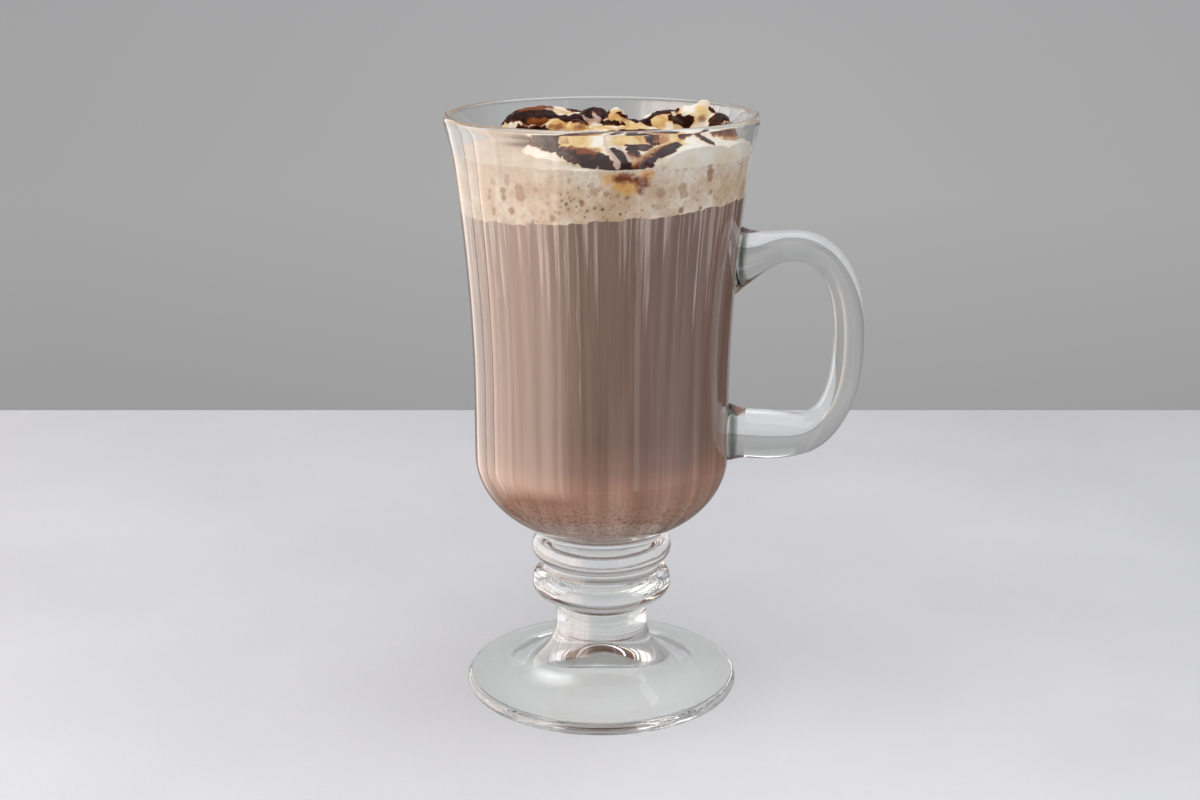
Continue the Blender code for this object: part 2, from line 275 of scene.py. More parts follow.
def glowingCard(radiance, tint):
    # lit cloth: a glow with faint upright streaks that dies away towards the card's lower edge
    material, tree = newMaterial("glowing_card")
    place, parts = objectPlace(tree)
    glow = addNode(tree, "MapRange", {
        "Value": parts["Z"], "From Min": cardRing["fadeLow"], "From Max": cardRing["fadeHigh"],
        "To Max": radiance})
    around = addNode(tree, "VectorMath", {0: place, 1: (1.0, 1.0, 0.0)}, operation="MULTIPLY")
    streaks = addNode(tree, "TexNoise", {"Vector": around, "Scale": 1 / cardRing["streak"], "Detail": 3.0})
    uneven = addNode(tree, "MapRange", {
        "Value": streaks, "From Min": 0.3, "From Max": 0.7,
        "To Min": 1 - cardRing["unevenness"], "To Max": 1 + cardRing["unevenness"]})
    strength = addNode(tree, "Math", {0: glow, 1: uneven}, operation="MULTIPLY")
    light = addNode(tree, "Emission", {"Color": colour(tint), "Strength": strength})
    addNode(tree, "OutputMaterial", {"Surface": light})
    return material


def setCards():
    upright = [(0, -cardRing["radius"], z) for z in (cardRing["low"], cardRing["high"])]
    for number, (start, end, radiance, tint) in enumerate(cards):
        steps = max(2, round((end - start) / cardRing["step"]))
        bm = sweepRound(upright, start, end, steps)
        addStage(f"card_{number}", bm, glowingCard(radiance, tint), onlyReflected=True)


def paintedWall():
    # the world: a plain grey wall behind the glass, with painted shade that makes it darker low down and a
    # painted pool of light on it behind the glass, and a dim room behind the viewer
    world = bpy.data.worlds.new("room")
    world.use_nodes = True
    scene.world = world
    tree = world.node_tree
    tree.nodes.clear()
    direction = addNode(tree, "TexCoord").outputs["Generated"]
    parts = addNode(tree, "SeparateXYZ", {"Vector": direction}).outputs
    # painted shade: the wall darker low down
    height = addNode(tree, "MapRange", {"Value": parts["Z"], "From Min": -0.30, "From Max": 0.02})
    wall = addNode(tree, "ValToRGB", {"Fac": height}, ((0.0, "9C9B9C"), (0.45, "A9A8A9"), (1.0, "A6A5A7")))
    behind = addNode(tree, "MapRange", {"Value": parts["Y"], "From Min": -0.15, "From Max": 0.25})
    # painted light: a soft brighter patch on the wall behind the glass
    fromPaintedGlow = addNode(tree, "VectorMath", {0: direction, 1: (0.06, 0.97, -0.14)}, operation="DISTANCE")
    glow = addNode(tree, "MapRange", {
        "Value": fromPaintedGlow.outputs["Value"], "From Min": 0.0, "From Max": 0.36, "To Min": 1.07,
        "To Max": 0.955})
    lit = addNode(tree, "VectorMath", {0: wall, "Scale": glow}, operation="SCALE")
    both = addNode(tree, "Mix", {"Factor": behind, 6: colour("8C8A8C"), 7: lit}, data_type="RGBA")
    shade = addNode(tree, "Background", {"Color": both.outputs[2], "Strength": 1.0})
    addNode(tree, "OutputWorld", {"Surface": shade})


def whiteTable():
    # painted board under a thin cloth: matt, a little mottled, with a faint weave, with painted shade
    # that makes it darker away from the viewer, and painted pools of light under the foot, where the
    # glass gathers light
    material, tree = newMaterial("white_table")
    place, parts = objectPlace(tree)
    mottle = addNode(tree, "TexNoise", {"Vector": place, "Scale": tableCloth["mottle"], "Detail": 6.0})
    weave = addNode(tree, "TexNoise", {"Vector": place, "Scale": 1 / tableCloth["thread"], "Detail": 2.0})
    shade = addNode(tree, "ValToRGB", {"Fac": mottle}, ((0.35, "DEDFE1"), (0.65, "E4E5E7")))
    near = addNode(tree, "MapRange", {
        "Value": parts["Y"], "From Min": tableCloth["farY"], "From Max": tableCloth["nearY"]})
    # painted shade: the table darker away from the viewer, paler near it
    shade = tinted(tree, shade, near, ((0.0, "E8E8E9"), (0.55, "EEEEEF"), (1.0, "FFFFFF")))
    # painted light: pools of light that brighten the table
    for centre, full, none, gain in paintedLightSpots:
        reach = addNode(tree, "VectorMath", {0: place, 1: centre}, operation="DISTANCE")
        paintedLightGain = addNode(tree, "MapRange", {
            "Value": reach.outputs["Value"], "From Min": full, "From Max": none, "To Min": gain,
            "To Max": 1.0}, interpolation_type="SMOOTHSTEP")
        shade = addNode(tree, "VectorMath", {0: shade, "Scale": paintedLightGain}, operation="SCALE")
    nap = addNode(tree, "Bump", {"Height": weave, "Distance": tableCloth["nap"], "Strength": 0.35})
    surface = addNode(tree, "BsdfPrincipled", {"Base Color": shade, "Roughness": 0.8, "Normal": nap})
    addNode(tree, "OutputMaterial", {"Surface": surface})
    return material


def setTable():
    # the side of the glass shows the room, and only its bottom the table: a near disc stands for it there
    painted = whiteTable()
    bm = bmesh.new()
    bmesh.ops.create_grid(bm, x_segments=1, y_segments=1, size=1.0)
    depth = studio["backEdge"] - studio["frontEdge"]
    bmesh.ops.scale(bm, vec=(studio["halfWidth"], depth / 2, 1), verts=bm.verts)
    middle = (studio["backEdge"] + studio["frontEdge"]) / 2
    bmesh.ops.translate(bm, vec=(0, middle, studio["tableTop"]), verts=bm.verts)
    addStage("table", bm, painted).visible_glossy = False
    low = studio["tableTop"] - nearTable["under"]
    line = [(0, -reach, low) for reach in (nearTable["inner"], nearTable["outer"])]
    bm = sweepRound(line, nearTable["from"], nearTable["to"], nearTable["steps"])
    addStage("near_table", bm, painted, onlyReflected=True)


setPictureLook()
setCamera()
setLamps()
setCards()
paintedWall()
setTable()
print("camera, lamps, cards and table are set")


# Glass: foot, neck, two rings, bowl and rounded lip, turned as one outline

glass = {
    "height": 146.8 * mm,
    "rimRadius": 38.0 * mm,
    "rimWall": 2.2 * mm,
    "bowlWall": 2.6 * mm,
    "footRadius": 34.6 * mm,
    "footEdge": 1.8 * mm,
    "hollowHeight": 11.0 * mm,  # under the foot: a cone with a round top that levels out
    "hollowRounding": 5.0 * mm,
    "hollowReach": 27.0 * mm,
    "hollowPower": 1.9,
    "footSlope": (22.5 * mm, 5.6 * mm),  # r, z where the cone of the foot turns up
    "neckRadius": 11.6 * mm,
    "neckFootZ": 17.6 * mm,
    "neckTopZ": 22.3 * mm,
    "ringSection": 3.7 * mm,
    "ringRadius": 17.7 * mm,
    "ringsZ": (28.1 * mm, 37.6 * mm),
    "ringArcs": ((-100, 72), (-72, 66)),  # degrees round each ring's section that show
    "valley": (14.9 * mm, 32.8 * mm),
    "bowlJoint": (15.7 * mm, 42.3 * mm),
    "waistRadius": 31.7 * mm,
    "shoulderZ": 62.0 * mm,
    "bottomHalfHeight": 20.5 * mm,
    "bottomArc": 66,
    "innerHalfHeight": 15.6 * mm,
    "bottomCentre": 6.0 * mm,
    "flareZ": 78.0 * mm,
    "flarePower": 1.8,
    "lipZ": 134.0 * mm,
    "lipFlare": 0.8 * mm,
    "lipPower": 1.5,
    "segments": 160,
    "arcSteps": 18,
    "footSteps": 40,
    "wallSteps": 26,
}


def sweepPoints(centre, halfR, halfZ, start, end, steps):
    # points (r, z) of an elliptic arc from start to end degrees
    points = []
    for i in range(steps + 1):
        turn = math.radians(start + (end - start) * i / steps)
        points.append((centre[0] + halfR * math.cos(turn), centre[1] + halfZ * math.sin(turn)))
    return points


def outerRadius(z):
    lip = glass["height"] - glass["rimWall"] / 2
    flare = glass["rimRadius"] - glass["waistRadius"] - glass["lipFlare"]
    flare *= max(0.0, (z - glass["flareZ"]) / (lip - glass["flareZ"])) ** glass["flarePower"]
    curl = glass["lipFlare"] * max(0.0, (z - glass["lipZ"]) / (lip - glass["lipZ"])) ** glass["lipPower"]
    return glass["waistRadius"] + flare + curl


def innerRadius(z):
    up = (z - glass["shoulderZ"]) / (glass["height"] - glass["shoulderZ"])
    thinning = glass["rimWall"] - glass["bowlWall"]
    return outerRadius(z) - glass["bowlWall"] - thinning * min(1.0, max(0.0, up))


def innerBottom(reach):
    # the inside of the bowl's bottom from the axis out to the shoulder, let into the wall by reach
    halfR = glass["waistRadius"] - glass["bowlWall"] - glass["bottomCentre"] + reach
    centre = (glass["bottomCentre"], glass["shoulderZ"])
    return sweepPoints(centre, halfR, glass["innerHalfHeight"] + reach, -90, 0, glass["arcSteps"])


def levels(low, high, steps):
    return [low + (high - low) * i / steps for i in range(steps + 1)]


def hollowHeight(r):
    out = (math.hypot(r, glass["hollowRounding"]) - glass["hollowRounding"]) / glass["hollowReach"]
    return glass["hollowHeight"] * max(0.0, 1 - out) ** glass["hollowPower"]


def glassOutline():
    # from the axis under the foot, up the outside and over the lip, and down the inside to the axis
    edge, foot = glass["footEdge"], glass["footRadius"]
    slopeR, slopeZ = glass["footSlope"]
    ringR = glass["ringRadius"] - glass["ringSection"]
    section = glass["ringSection"]
    lip = glass["rimWall"] / 2
    lipZ, lipR = glass["height"] - lip, glass["rimRadius"] - lip
    centre = (glass["bottomCentre"], glass["shoulderZ"])
    outline = [(r, hollowHeight(r)) for r in levels(0.0, foot - edge, glass["footSteps"])]
    outline += sweepPoints((foot - edge, edge), edge, edge, -90, 90, 14)[1:]
    outline += sweepPoints((slopeR, glass["neckFootZ"]), slopeR - glass["neckRadius"],
                           glass["neckFootZ"] - slopeZ, -90, -180, 16)
    outline += [(glass["neckRadius"], glass["neckTopZ"])]
    outline += sweepPoints((ringR, glass["ringsZ"][0]), section, section, *glass["ringArcs"][0], 20)
    outline += [glass["valley"]]
    outline += sweepPoints((ringR, glass["ringsZ"][1]), section, section, *glass["ringArcs"][1], 18)
    outline += [glass["bowlJoint"]]
    outline += sweepPoints(centre, glass["waistRadius"] - centre[0], glass["bottomHalfHeight"],
                           -glass["bottomArc"], 0, glass["arcSteps"])
    wall = levels(glass["shoulderZ"] + 5 * mm, lipZ - 1.5 * mm, glass["wallSteps"])
    outline += [(outerRadius(z), z) for z in wall]
    outline += sweepPoints((lipR, lipZ), lip, lip, 0, 180, 12)
    outline += [(innerRadius(z), z) for z in reversed(wall)]
    outline += reversed(innerBottom(0.0))
    outline += [(0.0, glass["shoulderZ"] - glass["innerHalfHeight"])]
    return outline


def turnOutline(outline, segments):
    # an outline of (r, z) spun once round the axis
    bm = bmesh.new()
    verts = [bm.verts.new((r, 0.0, z)) for r, z in outline]
    edges = [bm.edges.new(pair) for pair in zip(verts, verts[1:])]
    bmesh.ops.spin(bm, geom=verts + edges, cent=(0, 0, 0), axis=(0, 0, 1),
                   angle=2 * math.pi, steps=segments, use_merge=True)
    bmesh.ops.remove_doubles(bm, verts=bm.verts, dist=weld)
    return bm


handle = {
    "centre": (46.5 * mm, 90.5 * mm),
    "halfHeight": 24.0 * mm,
    "reach": 14.6 * mm,
    "power": 2.35,
    "topRoot": (31.9 * mm, 111.2 * mm),
    "bottomRoot": (30.5 * mm, 67.4 * mm),
    "halfWidth": 5.2 * mm,
    "thin": 3.8 * mm,
    "thick": 6.3 * mm,
    "topSpread": 5.6 * mm,
    "bottomSpread": 1.2 * mm,
    "widthSpread": 1.3 * mm,
    "sides": 40,
    "steps": 90,
    "arm": 0.2,  # share of the length in each arm
    "thickens": (0.62, 0.88),  # shares of the length between which it goes from thin to thick
    "spreadsFrom": 0.93,  # share of the length from which it spreads to the lower root
    "seamShade": (0.7 * mm, 2.0 * mm),  # how far from the wall the painted shade is darkest, and ends
}


def handleLine():
    # points (x, z) down the middle of the handle, from the upper root to the lower one
    centreX, centreZ = handle["centre"]
    armSteps = round(handle["steps"] * handle["arm"])
    bowSteps = handle["steps"] - 2 * armSteps
    topZ, bottomZ = centreZ + handle["halfHeight"], centreZ - handle["halfHeight"]
    points = []
    for i in range(armSteps):
        along = i / armSteps
        drop = (topZ - handle["topRoot"][1]) * (1 - smoothStep(0, 1, along))
        points.append((handle["topRoot"][0] + (centreX - handle["topRoot"][0]) * along, topZ - drop))
    for i in range(bowSteps + 1):
        turn = math.pi / 2 - math.pi * i / bowSteps
        out, up = math.cos(turn), math.sin(turn)
        rise = math.copysign(abs(up) ** (2 / handle["power"]), up)
        points.append((centreX + handle["reach"] * abs(out) ** (2 / handle["power"]),
                       centreZ + handle["halfHeight"] * rise))
    for i in range(1, armSteps + 1):
        along = i / armSteps
        points.append((centreX + (handle["bottomRoot"][0] - centreX) * along,
                       bottomZ + (handle["bottomRoot"][1] - bottomZ) * along ** 2))
    return points


def handlePlaces():
    # a matrix for each station, which takes a unit circle to the handle's section there
    line = handleLine()
    places = []
    for i, (x, z) in enumerate(line):
        before, after = line[max(0, i - 1)], line[min(len(line) - 1, i + 1)]
        direction = Vector((after[0] - before[0], 0, after[1] - before[1])).normalized()
        if x <= handle["centre"][0]:
            direction = Vector((1 if z > handle["centre"][1] else -1, 0, 0))
        along = i / (len(line) - 1)
        top = max(0.0, 1 - along / handle["arm"])
        bottom = smoothStep(handle["spreadsFrom"], 1.0, along)
        thicker = (handle["thick"] - handle["thin"]) * smoothStep(*handle["thickens"], along)
        thick = handle["thin"] + thicker
        thick += handle["topSpread"] * top ** 2 + handle["bottomSpread"] * bottom
        width = handle["halfWidth"] + handle["widthSpread"] * max(top ** 2, bottom)
        across = Vector((-direction.z, 0, direction.x))
        turn = Matrix((across, (0, 1, 0), direction)).transposed().to_4x4()
        places.append(Matrix.Translation((x, 0, z)) @ turn @ Matrix.Diagonal((thick, width, mm, 1)))
    return places


def handleShape():
    # a ring drawn along the stations by extruding its open edge again and again, then closed at both ends
    places = handlePlaces()
    bm = bmesh.new()
    bmesh.ops.create_circle(bm, cap_ends=False, segments=handle["sides"], radius=1.0, matrix=places[0])
    loop = bm.edges[:]
    for last, following in zip(places, places[1:]):
        made = bmesh.ops.extrude_edge_only(bm, edges=loop)["geom"]
        verts = [part for part in made if isinstance(part, bmesh.types.BMVert)]
        loop = [part for part in made if isinstance(part, bmesh.types.BMEdge)]
        bmesh.ops.transform(bm, matrix=following @ last.inverted(), verts=verts)
    bmesh.ops.holes_fill(bm, edges=[edge for edge in bm.edges if edge.is_boundary], sides=0)
    bmesh.ops.recalc_face_normals(bm, faces=bm.faces)
    return bm


def sodaLimeGlass():
    # pressed soda-lime glass, fire polished: clear, faintly green where it is thick, and with painted shade,
    # dark green, at the seam where the handle joins the wall, for the dark line that refraction shows there.
    # Rays from lamps and from the drink pass straight, so that what is in the glass is lit as it would be
    # without it
    material, tree = newMaterial("soda_lime_glass")
    seamShade = addNode(tree, "Attribute", attribute_name="seamShade").outputs["Fac"]
    # painted shade: dark green at the seam where the handle joins the wall
    tint = addNode(tree, "ValToRGB", {"Fac": seamShade}, ((0.0, "FBFDFB"), (0.35, "A8B0A6"), (1.0, "4A564C")))
    body = addNode(tree, "BsdfPrincipled", {
        "Base Color": tint, "Roughness": 0.0, "IOR": 1.5, "Transmission Weight": 1.0})
    clear = addNode(tree, "BsdfTransparent", {"Color": colour("FEFFFE")})
    path = addNode(tree, "LightPath")
    lit = addNode(tree, "MixShader", {"Fac": path.outputs["Is Diffuse Ray"], 1: body, 2: clear})
    shaded = addNode(tree, "MixShader", {"Fac": path.outputs["Is Shadow Ray"], 1: lit, 2: clear})
    addNode(tree, "OutputMaterial", {"Surface": shaded})
    return material


def markSeamShade(mesh):
    # an attribute for the painted shade at the seam: 1 on the handle just off the wall
    seamShade = mesh.attributes.new("seamShade", "FLOAT", "POINT")
    near, far = handle["seamShade"]
    low, high = glass["shoulderZ"] - 4 * mm, handle["topRoot"][1] + 10 * mm
    for vert in mesh.vertices:
        x, y, z = vert.co
        out = math.hypot(x, y) - outerRadius(z)
        if x > 0 and low < z < high and abs(y) < 1.6 * handle["halfWidth"]:
            seamShade.data[vert.index].value = smoothStep(0, near, out) * (1 - smoothStep(near, far, out))


def buildGlass():
    clear = sodaLimeGlass()
    body = turnOutline(glassOutline(), glass["segments"])
    mug = addPiece("footed_glass_mug", body, clear, "mug")
    loop = addObject("handleShape", handleShape(), clear)
    loop.data.shade_smooth()
    join = mug.modifiers.new("join", "BOOLEAN")
    join.operation = "UNION"
    join.solver = "EXACT"
    join.object = loop
    applyModifiers(mug)
    bpy.data.objects.remove(loop)
    markSeamShade(mug.data)
    mug.data.set_sharp_from_angle(angle=math.radians(35))
    print("glass:", len(mug.data.polygons), "faces")


buildGlass()


# Strokes of sauce, milk and stain: each point is x, y in the frame and half width in points

stroke = {
    "step": 0.6,  # points between drops
    "grain": 0.6,  # waves per mm along an edge
    "point": 0.25 * mm,  # what a point of the frame is at the glass
    "seed": 7,  # the start of the vector noise that moves edges, which would else be the clock's time
}
noise.seed_set(stroke["seed"])


def dropRay(x, y):
    # the line straight down through x, y in mm
    return Vector((x * mm, y * mm, 0.2)), Vector((0, 0, -1))


def castStrokes(strokes, surface, ray):
    # drops all over each stroke, which has round ends, where it falls on the surface
    drops = []
    for route in strokes:
        points = [Vector(point) for point in route]
        length = sum((end - start).xy.length for start, end in zip(points, points[1:]))
        gone = 0.0
        for start, end in zip(points, points[1:]):
            part = (end - start).xy.length
            side = Vector((start.y - end.y, end.x - start.x, 0)).normalized() * stroke["step"]
            steps = max(1, round(part / stroke["step"]))
            for i in range(steps + 1):
                point = start.lerp(end, i / steps)
                room = min(gone + part * i / steps, length - gone - part * i / steps)
                half = point.z if room > point.z else math.sqrt(max(0.0, room * (2 * point.z - room)))
                rows = round(half / stroke["step"])
                for row in range(-rows, rows + 1):
                    spot = surface.ray_cast(*ray(*(point + side * row).xy))[0]
                    if spot:
                        drops.append(spot)
            gone += part
    return drops


def paintDrops(bm, name, drops, reach, drift):
    # an attribute that is 1 on the drops and falls to 0 at reach from them, its edge wandering by drift
    layer = bm.verts.layers.float.new(name)
    tree = kdtree.KDTree(len(drops))
    for i, drop in enumerate(drops):
        tree.insert(drop, i)
    tree.balance()
    for vert in bm.verts:
        place = vert.co / mm * stroke["grain"]
        wander = noise.noise_vector(place) + 0.5 * noise.noise_vector(place * 3)
        spot = vert.co + drift * wander
        vert[layer] = max(0.0, 1 - tree.find(spot)[2] / reach)


def paintBubbles(bm, name, bubbles, surface):
    # an attribute that rises to each bubble's strength inside it: x, y and radius in points, strength
    layer = bm.verts.layers.float.new(name)
    bm.verts.ensure_lookup_table()
    tree = kdtree.KDTree(len(bm.verts))
    for i, vert in enumerate(bm.verts):
        tree.insert(vert.co, i)
    tree.balance()
    for x, y, radius, strength in bubbles:
        centre = surface.ray_cast(*photoRay(x, y))[0]
        size = radius * stroke["point"]
        for spot, i, reach in tree.find_range(centre, 1.6 * size):
            reach *= 1 + 0.3 * noise.noise(spot / mm * 1.3)
            amount = strength * (1 - smoothStep(0.75 * size, 1.15 * size, reach))
            bm.verts[i][layer] = max(bm.verts[i][layer], amount)


# Hot chocolate: fills the bowl up to the foam, just let into the wall so that no air shows between them

drink = {
    "letIn": 0.12 * mm,
    "bottomZ": 46.4 * mm,
    "topZ": 126.0 * mm,
    "slope": 0.07,  # it stands higher at the right
    "underFoam": 3.0 * mm,  # how far its side runs on behind the foam
    "sideSteps": 14,
    "segments": 128,
    "streakWidth": 1.6 * mm,
    "streakAround": 32 * mm,  # the radius at which streaks and threads are as wide as they say
    "streakRise": 0.03,  # how fast they change up the side, as a share of how fast they do round it
    "bandWidth": 9 * mm,
    "threadWidth": 0.6 * mm,
    "threadDrop": 34 * mm,  # how far threads hang from the foam
    "paintedLightOver": 30 * mm,  # the height over which painted light makes the bottom paler
    "grainSize": 0.4 * mm,
    "grainsZ": (60 * mm, 50 * mm),  # where grains begin, and are at their most
}


def milkyCocoa():
    # cocoa in hot milk: opaque, mauve brown, with fine pale threads of milk that hang from the foam along the
    # glass, and grains of cocoa that have settled at the bottom, and painted light in a pale band near the
    # bottom, where the thick glass under it gathers light
    material, tree = newMaterial("milky_cocoa")
    place, parts = objectPlace(tree)
    flat = addNode(tree, "VectorMath", {0: place, 1: (1.0, 1.0, 0.0)}, operation="MULTIPLY")
    outward = addNode(tree, "VectorMath", {0: flat}, operation="NORMALIZE")
    wide = addNode(tree, "VectorMath", {0: outward, "Scale": drink["streakAround"]}, operation="SCALE")
    long = addNode(tree, "VectorMath", {0: place, 1: (0.0, 0.0, drink["streakRise"])}, operation="MULTIPLY")
    hang = addNode(tree, "VectorMath", {0: wide, 1: long}, operation="ADD")
    body = addNode(tree, "TexNoise", {
        "Vector": hang, "Scale": 1 / (2 * drink["streakWidth"]), "Detail": 5.0, "Roughness": 0.65})
    bands = addNode(tree, "TexNoise", {"Vector": hang, "Scale": 1 / drink["bandWidth"], "Detail": 1.0})
    threads = addNode(tree, "TexNoise", {
        "Vector": hang, "Scale": 1 / (2 * drink["threadWidth"]), "Detail": 3.0, "Roughness": 0.6})
    shade = addNode(tree, "ValToRGB", {"Fac": body}, ((0.3, "A07C6A"), (0.5, "B89280"), (0.72, "D0AC9A")))
    shade = tinted(tree, shade, bands, ((0.35, "ECE4E0"), (0.65, "FFFFFF")))
    # painted light: a pale band just above the bottom of the bowl, darker at the very bottom and higher up
    depth = addNode(tree, "MapRange", {
        "Value": parts["Z"], "From Min": drink["bottomZ"], "From Max": drink["bottomZ"] + drink["paintedLightOver"]})
    shade = tinted(tree, shade, depth, (
        (0.0, "B4B2B2"), (0.12, "EEF2F2"), (0.3, "FFF6F0"), (0.5, "F4E8E2"), (0.66, "D0CCCA"),
        (0.9, "BCBCBC")))
    high = addNode(tree, "MapRange", {
        "Value": parts["Z"], "From Min": drink["topZ"] - drink["threadDrop"], "From Max": drink["topZ"]})
    cut = addNode(tree, "Math", {0: high, 1: -0.19, 2: 0.67}, operation="MULTIPLY_ADD")
    over = addNode(tree, "Math", {0: threads, 1: cut}, operation="SUBTRACT")
    shade = covered(tree, shade, colour("C8B4A8"), over, 0.0, 0.14, 0.75)
    grains = addNode(tree, "TexNoise", {"Vector": place, "Scale": 1 / drink["grainSize"] / 2, "Detail": 2.0})
    low = addNode(tree, "MapRange", {
        "Value": parts["Z"], "From Min": drink["grainsZ"][0], "From Max": drink["grainsZ"][1]})
    grainy = addNode(tree, "MapRange", {"Value": grains, "From Min": 0.5, "From Max": 0.62, "To Max": 0.8})
    amount = addNode(tree, "Math", {0: low, 1: grainy}, operation="MULTIPLY")
    settled = addNode(tree, "Mix", {"Factor": amount, 6: shade, 7: colour("5A3A2C")}, data_type="RGBA")
    surface = addNode(tree, "BsdfPrincipled", {
        "Base Color": settled.outputs[2], "Roughness": 0.45, "IOR": 1.35})
    addNode(tree, "OutputMaterial", {"Surface": surface})
    return material


def buildDrink():
    topZ = drink["topZ"] + drink["underFoam"]
    side = levels(glass["shoulderZ"] + 4 * mm, topZ, drink["sideSteps"])
    bottomZ = glass["shoulderZ"] - glass["innerHalfHeight"] - drink["letIn"]
    outline = [(0.0, bottomZ), *innerBottom(drink["letIn"])]
    outline += [(innerRadius(z) + drink["letIn"], z) for z in side] + [(0.0, topZ)]
    bm = turnOutline(outline, drink["segments"])
    for vert in bm.verts:
        if vert.co.z > topZ - 0.1 * mm:
            vert.co.z += drink["slope"] * vert.co.x
            if vert.co.xy.length > mm:
                vert.co.xy = vert.co.xy.normalized() * (innerRadius(vert.co.z) + drink["letIn"])
    cocoa = addPiece("cocoa_drink", bm, milkyCocoa(), "hot_chocolate")
    cocoa.data.set_sharp_from_angle(angle=math.radians(50))


buildDrink()
print("drink is made")


# Milk foam: a band of bubbles against the wall and a soft top

foam = {
    "letIn": 0.2 * mm,
    "topZ": 138.0 * mm,
    "sideSteps": 52,
    "topRings": (0.6, 1.5, 3, 5, 7.5, 10.5, 14, 18, 23, 29),  # mm in from the wall
    "segments": 800,
    "edgeWave": 0.7 * mm,
    "relief": 0.35 * mm,
    "waveLength": 4 * mm,
    "patch": 5 * mm,
    "bend": (2.5 * mm, 1.6 * mm),  # size and depth of the waves that bend the lace
    "speckle": 1.2 * mm,
    "bubble": 1.7 * mm,  # the large cells
    "lace": 0.9 * mm,
    "fineBubble": 0.42 * mm,
    "leftX": (-30 * mm, -6 * mm),  # where it goes from cooler and whiter to its own colour
    "creamyTop": (2.5 * mm, 2 * mm),  # how far under and over its top it turns creamy
    "creamyWave": 4 * mm,
    "stainEdge": (1.6 * mm, 0.8 * mm),  # reach from its strokes, and drift of its edge
    "stain": (1.3 * mm, 0.8 * mm),
}

# The largest bubbles against the glass, tan and small dark ones: x, y, radius, strength
tanBubbles = (
    (493, 190, 2.6, 0.8), (493, 196, 2.8, 0.9), (506, 189.5, 3.4, 0.8), (506.5, 196, 3.4, 0.8),
    (521, 188, 5, 0.75), (522.5, 195, 5.5, 0.8), (497, 208.5, 2.6, 0.9), (497.5, 212, 2.4, 0.9),
    (514, 210, 3.6, 0.9), (509.5, 176, 3.4, 0.5), (510, 181, 3.6, 0.5), (496, 180.5, 3.6, 0.45),
    (537.5, 189, 2.6, 0.5), (554, 217.5, 3.2, 0.7), (560, 212, 2, 0.5), (582, 201, 2.4, 0.8),
    (582.3, 204, 2.2, 0.7), (594.5, 191, 4.4, 0.45), (606, 193, 3, 0.5), (617.5, 195, 2.2, 0.5),
    (627, 197, 2.7, 0.5), (659.5, 192, 5, 0.4), (681, 187, 5, 0.5), (681.5, 193, 4.6, 0.5),
    (707, 165, 3.4, 0.6), (707, 171, 4.2, 0.8), (707, 177, 3.6, 0.7), (707, 191, 2.8, 0.6),
    (679, 209.5, 3, 0.8),
)
darkBubbles = (
    (561.3, 193.4, 1.3, 0.8), (568.8, 192.3, 1.2, 0.6), (562.7, 200, 1.5, 0.8), (566.8, 203.2, 1.7, 1.0),
    (571.4, 200, 1.4, 0.7), (574.8, 197.7, 1.2, 0.7), (568.8, 208.6, 1.2, 0.9), (561.8, 206.4, 1.2, 0.7),
    (587.6, 209.8, 1.4, 1.0), (594.8, 207.5, 1.3, 0.9), (602.5, 208.6, 1.7, 1.0), (585, 216.2, 1.3, 0.8),
    (619.8, 213.4, 1.5, 0.9), (625.3, 211.8, 1.1, 0.8), (534.5, 220.5, 1.2, 1.0), (528.5, 222.7, 1.1, 0.8),
    (539.5, 220.5, 1.1, 0.8), (697.5, 207, 1.6, 1.0), (694.5, 199, 1.2, 0.7), (556, 211, 1, 0.7),
    (577, 206, 1.1, 0.8), (627, 197, 1, 0.8), (588.5, 185.5, 1.1, 0.5), (579, 187, 1.1, 0.5),
    (612, 206, 1, 0.6), (641, 209, 1, 0.6), (652, 205, 1.2, 0.6), (668, 201, 1, 0.5),
    (549, 203, 1.1, 0.6), (544, 212, 1, 0.6),
)
stain = (
    ((616, 178, 1), (622, 178, 2.2), (627, 176, 2)), ((627, 176, 1.5), (636, 179, 1.5), (643, 181, 3)),
    ((644, 177, 2), (643, 184, 2), (640, 188, 1), (641, 192, 0.5)),
)
stainEdge = (
    ((604, 178, 1), (614, 179, 3), (626, 182, 4), (636, 185, 3)), ((640, 172, 2), (648, 177, 2.5)),
    ((616, 182, 1.5), (624, 188, 2), (634, 190, 1)),
)


